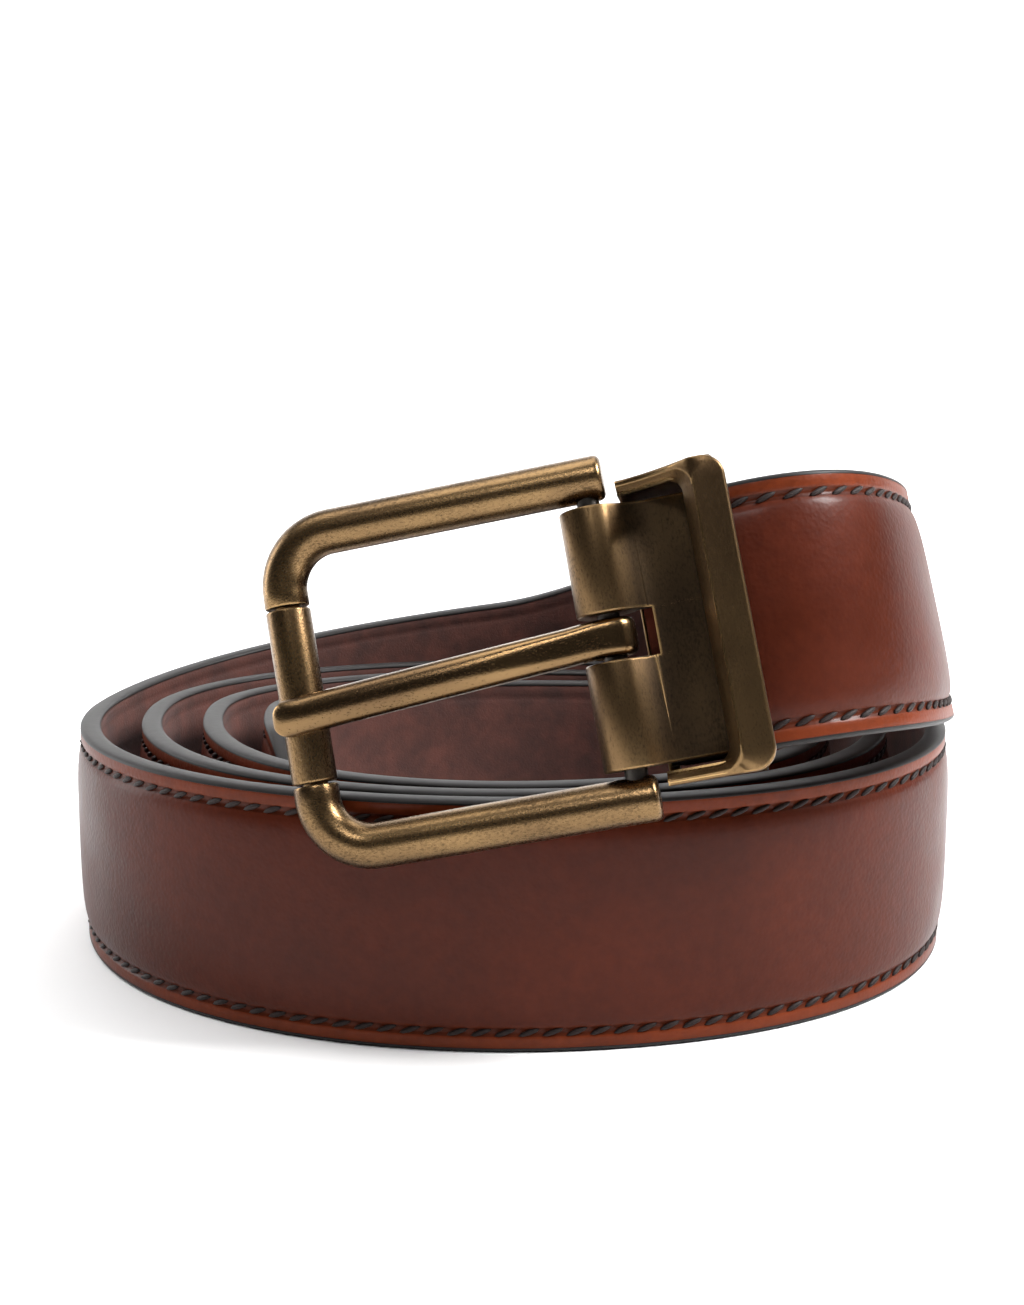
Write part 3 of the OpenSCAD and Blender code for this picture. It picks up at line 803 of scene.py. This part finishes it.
class BELT_OT_roller(bpy.types.Operator):
    """Makes the roller, a tube on the end bar"""
    bl_idname = "belt.roller"
    bl_label = "Roller"

    def execute(self, context):
        b = buckle()
        r, half, bore, edge = b.rod / 2, b.roller / 2, b.spindle / 2 + PLAY, 0.35 * MM
        top = [(r - edge + edge * math.sin(a), half - edge + edge * math.cos(a)) for a in quarter(4)]
        ring = [(bore, half)] + top + mirror(top) + [(bore, -half)]
        bm = lathe(ring)
        bmesh.ops.transform(bm, matrix=buckle_place() @ Matrix.Translation((-b.reach, 0, 0)), verts=bm.verts)
        material = antique_brass("antiqued_drawn_brass", 0.45, 0.26, lines="Z")
        piece = finish_mesh(bm, "roller_tube", material, "roller", ("roller",))
        shade_by_angle(piece, 40)
        return {"FINISHED"}


class BELT_OT_prong(bpy.types.Operator):
    """Forges the prong: a domed, slightly arched bar that wraps round the hinge pin, with a ground tip"""
    bl_idname = "belt.prong"
    bl_label = "Prong"

    def execute(self, context):
        b = buckle()
        bore, wall = b.pin / 2 + PLAY, 1.75 * MM
        tip, half = b.reach + b.rod / 2, b.prong / 2
        # The bar is made straight, then its start is wrapped round the pin, measured midway in its wall
        middle = bore + wall / 2
        wrap, tip_start = math.radians(262) * middle, 7 * MM - tip
        over_roller = b.rod / 2 + 0.3 * MM
        along = Matrix.Rotation(math.radians(90), 4, "Y")
        stretches = ((wrap, 0, 24), (0, tip_start, 40), (tip_start, half - tip, 12))
        rings = [(x, half) for start, end, count in stretches
                 for x in np.linspace(start, end, count, endpoint=False)]
        for k in range(12):
            a = math.radians(86 * k / 11)
            rings.append((half - tip - half * math.sin(a), half * math.cos(a)))
        bm = tube([(Matrix.Translation((x, 0, 0)) @ along, radius) for x, radius in rings], 48)
        for v in bm.verts:
            x, y, z = v.co
            q = min(1.0, max(0.0, -x / b.reach))
            # The front is a dome, fuller towards the tip and flatter at the pin; the back is nearly flat
            power = 2.2 + 2.6 * (1 - ease(q / 0.5))
            crown = (1 - min(1.0, abs(z) / half) ** power) ** (1 / 2.2)
            front = 0.3 + 0.7 * crown if y < 0 else 0.3 * max(0.0, 1 - 1.6 * y / half)
            back_y = (b.prong_t - bore - wall) * (1 - q) - over_roller * q - b.prong_arch * 4 * q * (1 - q)
            front_y = back_y - b.prong_t
            if x > 0:
                turn, radius = x / middle, bore + front * wall
                v.co = Vector((radius * math.sin(turn), -radius * math.cos(turn), z))
                continue
            near = ease(1 + x / (5 * MM))
            back_y = back_y * (1 - near) - bore * near
            # The tip is ground to a round nose
            nose = min(1.0, (x + tip) / (4.5 * MM))
            front *= 0.45 + 0.55 * math.sqrt(1 - (1 - nose) ** 2)
            v.co.y = back_y + (front_y - back_y) * front
            v.co.z = z + x * math.tan(b.prong_set) * ease(-x / (6 * MM))
        bmesh.ops.recalc_face_normals(bm, faces=bm.faces)
        bmesh.ops.transform(bm, matrix=buckle_place(), verts=bm.verts)
        material = antique_brass("antiqued_forged_brass", 0.85, 0.22)
        piece = finish_mesh(bm, "prong_bar", material, "prong", ("prong",))
        shade_by_angle(piece, 35)
        return {"FINISHED"}


def casing_levels():
    """Levels of the casing in the buckle's own space: front of the bar, lining of the strap, back."""
    depth = strap_depth()
    keeper = depth + KEEPER_SPACE
    front = PLATE_FRONT - keeper - BAR_THICK
    rear = SEAT + depth
    back = rear + JAW_GAP + JAW_BARREL + 0.1 * MM
    return front, rear, back


def wall_front(x):
    """Front of the casing's side walls: it slopes back from the bar to the hinge."""
    b = buckle()
    front, at_hinge = casing_levels()[0], -1.6 * MM
    bar_x = b.casing_start + b.casing - BAR_WIDTH
    q = min(1.0, max(0.0, (bar_x + 1.4 * MM - x) / (bar_x + 1.4 * MM - b.casing_start)))
    return front + (at_hinge - front) * (1 - (1 - q) ** 1.5) if q > 0 else front


def casing_rim():
    """The front of the casing: a bevelled rim that runs along one side wall, round the bar and back."""
    b = buckle()
    inner, outer = casing_half()
    x_in, x_out = b.casing_start + b.casing - BAR_WIDTH, b.casing_start + b.casing
    r_in, r_out = 2.0 * MM, 2.8 * MM
    pairs = [((x, inner), (x, outer)) for x in np.linspace(b.casing_start, x_in - r_in, 12, endpoint=False)]
    run = x_out - r_out - (x_in - r_in)
    around = run + r_out * math.pi / 2
    for k, a in enumerate(quarter(20)):
        near = (x_in - r_in + r_in * math.sin(a), inner - r_in + r_in * math.cos(a))
        gone = around * k / 20
        turn = max(0.0, gone - run) / r_out
        far = (x_in - r_in + min(gone, run) + r_out * math.sin(turn), outer - r_out + r_out * math.cos(turn))
        pairs.append((near, far))
    pairs += [((x_in, z), (x_out, z)) for z in np.linspace(inner - r_in, 0, 12)[1:]]
    pairs += [((p[0], -p[1]), (q[0], -q[1])) for p, q in reversed(pairs[:-1])]
    bevel, edge = 1.55 * MM, 0.5 * MM
    sections = []
    for (xi, zi), (xo, zo) in pairs:
        near, far = Vector((xi, 0, zi)), Vector((xo, 0, zo))
        way = (far - near).normalized()
        wide = (far - near).length
        slope = min(bevel, 0.62 * wide)
        # Points of the section as (distance from the inner side, depth below the front)
        ring = [(0, BAR_THICK), (0, 1.15 * MM), (0.06 * slope, 1.0 * MM), (0.5 * slope, 0.52 * MM),
                (0.84 * slope, 0.1 * MM), (0.93 * slope, -0.03 * MM), (1.03 * slope, -0.05 * MM),
                (1.12 * slope, 0.0), (1.3 * slope, 0.02 * MM)]
        ring += [(wide - edge + edge * math.sin(a), edge - edge * math.cos(a)) for a in quarter(3)]
        ring += [(wide, BAR_THICK)]
        points = [(near + way * w, down) for w, down in ring]
        sections.append([Vector((p.x, wall_front(p.x) + down, p.z)) for p, down in points])
    rows, columns = len(sections) - 1, len(sections[0])
    bm = bmesh.new()
    bmesh.ops.create_grid(bm, x_segments=rows, y_segments=columns, size=0.5)
    for v in bm.verts:
        v.co = sections[round((v.co.x + 0.5) * rows)][round((v.co.y + 0.5) * columns) % columns]
    close_up(bm)
    return bm


def hinge_plate_parts():
    """The hinge plate: a rolled barrel that runs into a valley, beside the prong's slot and behind it."""
    b = buckle()
    r, valley = BARREL / 2, -0.3 * MM
    valley_x, valley_end, end = 8 * MM, 12.5 * MM, b.casing_start + b.casing - 1.4 * MM
    slot_half, slot_end = b.prong / 2 + 0.6 * MM, 5.8 * MM
    wide = strap().width / 2 - 0.5 * MM
    # The barrel runs from where it meets the plate's back to where the valley leaves it
    meet, leave = math.asin(PLATE_BACK / r), math.acos(0.55)
    barrel = [(r * math.cos(a), r * math.sin(a))
              for a in np.linspace(meet, 2 * math.pi - leave, 44, endpoint=False)]
    x0, y0 = r * 0.55, -r * math.sin(leave)

    def surface(x):
        if x <= valley_x:
            return valley + (y0 - valley) * ((valley_x - x) / (valley_x - x0)) ** 2
        return valley + (PLATE_FRONT - valley) * ease((x - valley_x) / (valley_end - valley_x))

    full = barrel + [(x, surface(x)) for x in np.linspace(x0, end, 40)] + [(end, PLATE_BACK)]
    behind = [(x, surface(x)) for x in np.linspace(slot_end, end, 30)]
    behind += [(end, PLATE_BACK), (slot_end, PLATE_BACK)]
    made = []
    for outline, low, high in ((full, slot_half, wide), (full, -wide, -slot_half),
                               (behind, -slot_half, slot_half)):
        bm = slab(outline, low, high - low)
        bmesh.ops.recalc_face_normals(bm, faces=bm.faces)
        if outline is full:
            rims = [e for e in bm.edges if abs(e.verts[0].co.z - e.verts[1].co.z) < 1e-6
                    and (abs(e.verts[0].co.z) > slot_half + MM
                         or max(v.co.x for v in e.verts) < slot_end - 0.6 * MM)]
            round_edges(bm, rims, 0.3 * MM, 3)
        made.append(bm)
    return made


def casing_walls():
    """The casing's two side walls behind the rim, and the bridge that joins them behind the hinge plate."""
    b = buckle()
    _, rear, back = casing_levels()
    inner = casing_half()[0]
    x0, x1 = b.casing_start, b.casing_start + b.casing - 0.9 * MM
    outline = [(x, wall_front(x) + 0.8 * MM) for x in np.linspace(x0, x1, 16)] + [(x1, back), (x0, back)]
    made = []
    for side in (1, -1):
        bm = slab(outline, side * inner, side * (b.casing_wall - 0.02 * MM))
        corner = [e for e in bm.edges
                  if all(abs(v.co.x - x1) < 1e-6 and abs(v.co.z) > inner + MM for v in e.verts)]
        round_edges(bm, corner, 1.8 * MM, 6)
        rim = [e for e in bm.edges if e.is_manifold and e.calc_face_angle(0) > math.radians(50)
               and all(v.co.y > back - 0.01 * MM for v in e.verts)]
        round_edges(bm, rim, 0.4 * MM, 3)
        bmesh.ops.recalc_face_normals(bm, faces=bm.faces)
        made.append(bm)
    bridge = bmesh.new()
    low = rear + 0.4 * MM
    size = Matrix.Diagonal((1.5 * MM, back - low, 2 * inner + MM, 1))
    middle = Matrix.Translation((x0 + 0.75 * MM, (low + back) / 2, 0))
    bmesh.ops.create_cube(bridge, size=1, matrix=middle @ size)
    round_edges(bridge, bridge.edges[:], 0.3 * MM, 2)
    return made + [bridge]


class BELT_OT_casing(bpy.types.Operator):
    """Casts the casing and presses the hinge plate, with rounded and worn edges"""
    bl_idname = "belt.casing"
    bl_label = "Casing and hinge plate"

    def execute(self, context):
        cast = antique_brass("antiqued_cast_brass_casing", 0.75, 0.3, lines="Z")
        # The pressed brass gets painted shade on the hinge plate from 1.2 mm behind the hinge pin, standing
        # in for the shade in its valley
        pressed = antique_brass("antiqued_pressed_brass", 0.5, 0.3, lines="Z", painted_shade_from=1.2 * MM)
        for name, parts, metal, slot, stands_for in (
                ("casing_shell", [casing_rim()] + casing_walls(), cast, "cast_brass", "casing"),
                ("hinge_plate_pressed", hinge_plate_parts(), pressed, "plate_brass", "hinge_plate")):
            bm = join(parts)
            bmesh.ops.transform(bm, matrix=buckle_place(), verts=bm.verts)
            bmesh.ops.recalc_face_normals(bm, faces=bm.faces)
            shade_by_angle(finish_mesh(bm, name, metal, "belt", (stands_for,)), 48)
        rounded_copy("clamp_jaw", "clamp_jaw_pressed", pressed, "clamp_jaw", 0.2 * MM, 2)
        return {"FINISHED"}


class BELT_OT_pins(bpy.types.Operator):
    """Gives the hinge pin and the jaw pin their steel finish"""
    bl_idname = "belt.pins"
    bl_label = "Pins"

    def execute(self, context):
        steel = drawn_steel()
        for name in ("hinge_pin", "jaw_pin"):
            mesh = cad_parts[name].data
            mesh.materials.clear()
            mesh.materials.append(steel)
        return {"FINISHED"}


def area_light(name, place, target, size, power):
    light = bpy.data.lights.new(name, "AREA")
    light.shape = "RECTANGLE"
    light.size, light.size_y = size
    light.energy = power
    way = Vector(target) - Vector(place)
    add_object(name, light).matrix_world = (Matrix.Translation(place)
                                            @ way.to_track_quat("-Z", "Y").to_matrix().to_4x4())


class BELT_OT_stage(bpy.types.Operator):
    """Sets the pale floor, the soft lights and the camera"""
    bl_idname = "belt.stage"
    bl_label = "Stage"

    def execute(self, context):
        scene = context.scene
        bm = bmesh.new()
        bmesh.ops.create_grid(bm, x_segments=40, y_segments=80, size=1)
        # A sheet of paper 6 m square: flat, then bent up behind the belt into an upright wall
        half, bend_start, bend_radius = 3.0, 0.9, 0.5
        for v in bm.verts:
            x, y = v.co.x * half, v.co.y * half
            past = max(0.0, y - bend_start)
            a = min(past / bend_radius, math.pi / 2)
            v.co = Vector((x, min(y, bend_start) + bend_radius * math.sin(a),
                           bend_radius * (1 - math.cos(a)) + max(0.0, past - bend_radius * math.pi / 2)))
        bmesh.ops.recalc_face_normals(bm, faces=bm.faces)
        floor = add_mesh(bm, "floor")
        floor.data.shade_smooth()
        floor.data.materials.append(studio_floor())

        world = bpy.data.worlds.new("studio")
        scene.world = world
        world.use_nodes = True
        # The walls of the studio look pale, though little light comes from them
        seen = node(world.node_tree, "LightPath", out="Is Camera Ray")
        glow = node(world.node_tree, "MapRange", None, {"Value": seen, "To Min": 0.045, "To Max": 0.95})
        fill(world.node_tree.nodes["Background"], {"Color": (1, 1, 1, 1), "Strength": glow})

        aim = (0.01, -0.02, 0.04)
        area_light("key_right", (0.5, -0.12, 0.54), aim, (0.22, 0.22), 10.0)
        area_light("front_fill", (-0.12, -0.55, 0.66), aim, (0.12, 0.12), 0.9)
        area_light("top_soft", (-0.05, 0.14, 0.8), (0, 0.06, 0), (0.9, 0.4), 4.6)
        area_light("left_edge", (-0.6, 0.16, 0.22), aim, (0.2, 0.4), 1.6)
        area_light("backdrop_wash", (0, 0.45, 0.9), (0, 1.4, 0.35), (1.6, 0.3), 26.0)
        for side, x, y in (("left", -1, 0), ("right", 1, 0), ("front", 0, -1)):
            area_light("floor_wash_" + side, (0.8 * x, 0.8 * y, 1.1), (2.2 * x, 2.2 * y, 0), (0.8, 0.8), 34.0)

        camera = bpy.data.cameras.new("camera")
        camera.sensor_fit = "VERTICAL"
        camera.sensor_height = 36
        camera.lens = 44.14
        camera.clip_start = 0.01
        eye = add_object("camera", camera)
        eye.location = (0, -0.2595, 0.0885)
        eye.rotation_euler = (math.radians(90 - 9.4), 0, 0)
        scene.camera = eye
        scene.view_settings.view_transform = "Standard"
        return {"FINISHED"}


class BELT_PT_panel(bpy.types.Panel):
    """Lists the pieces of the belt and their sizes"""
    bl_label = "Rolled dress belt"
    bl_idname = "BELT_PT_panel"
    bl_space_type = "VIEW_3D"
    bl_region_type = "UI"
    bl_category = "Belt"

    def draw(self, context):
        scene = context.scene
        for group in (scene.belt_strap, scene.belt_roll, scene.belt_buckle, scene.belt_finish):
            box = self.layout.box()
            for key in group.__annotations__:
                box.prop(group, key)
        for operator in OPERATORS:
            self.layout.operator(operator.bl_idname)


OPERATORS = (BELT_OT_strap, BELT_OT_stitches, BELT_OT_frame, BELT_OT_roller, BELT_OT_prong, BELT_OT_casing,
             BELT_OT_pins, BELT_OT_stage)
GROUPS = {"belt_strap": StrapSizes, "belt_roll": RollSizes, "belt_buckle": BuckleSizes,
          "belt_finish": Finishes}


def register():
    for cls in (*GROUPS.values(), *OPERATORS, BELT_PT_panel):
        bpy.utils.register_class(cls)
    for key, cls in GROUPS.items():
        setattr(bpy.types.Scene, key, PointerProperty(type=cls))


def unregister():
    for key in GROUPS:
        delattr(bpy.types.Scene, key)
    for cls in (BELT_PT_panel, *reversed(OPERATORS), *reversed(GROUPS.values())):
        bpy.utils.unregister_class(cls)


def main():
    register()
    bpy.ops.belt.strap()
    bpy.ops.belt.stitches()
    bpy.ops.belt.frame()
    bpy.ops.belt.roller()
    bpy.ops.belt.prong()
    bpy.ops.belt.casing()
    bpy.ops.belt.pins()
    bpy.ops.belt.stage()


if __name__ == "__main__":
    main()
